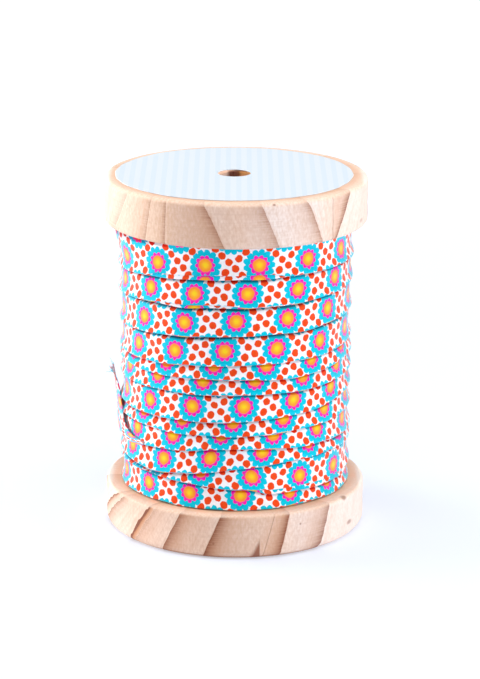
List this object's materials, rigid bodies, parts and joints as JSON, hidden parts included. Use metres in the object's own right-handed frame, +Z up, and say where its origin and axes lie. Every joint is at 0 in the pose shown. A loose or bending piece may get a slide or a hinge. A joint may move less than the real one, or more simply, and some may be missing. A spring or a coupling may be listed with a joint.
{
  "type": "roll of bias tape on a wooden spool",
  "caption": "Double-fold printed cotton bias tape wound in lapped turns on a turned pine spool with round flanges, a through bore, a plain paper end label and one loose tape end.",
  "frame": {"origin": "centre of the spool's base, on the surface that it stands on", "axes": "+Z up along the spool's axis, -Y towards the picture's camera, with the loose end at -X"},
  "size_m": [0.082, 0.082, 0.113],
  "materials": {
    "pine_lower": "raw turned pine, sanded",
    "pine_upper": "raw turned pine, sanded",
    "label_paper": "matt printed paper, pale blue stripes, no lettering",
    "printed_cotton": "printed cotton poplin, matt, folded and pressed"
  },
  "bodies": {
    "root": {"flange_bottom": "pine_lower", "flange_top": "pine_upper", "core": "pine_upper", "label": "label_paper", "tape_roll": "printed_cotton", "tape_end": "printed_cotton"}
  },
  "joints": []
}
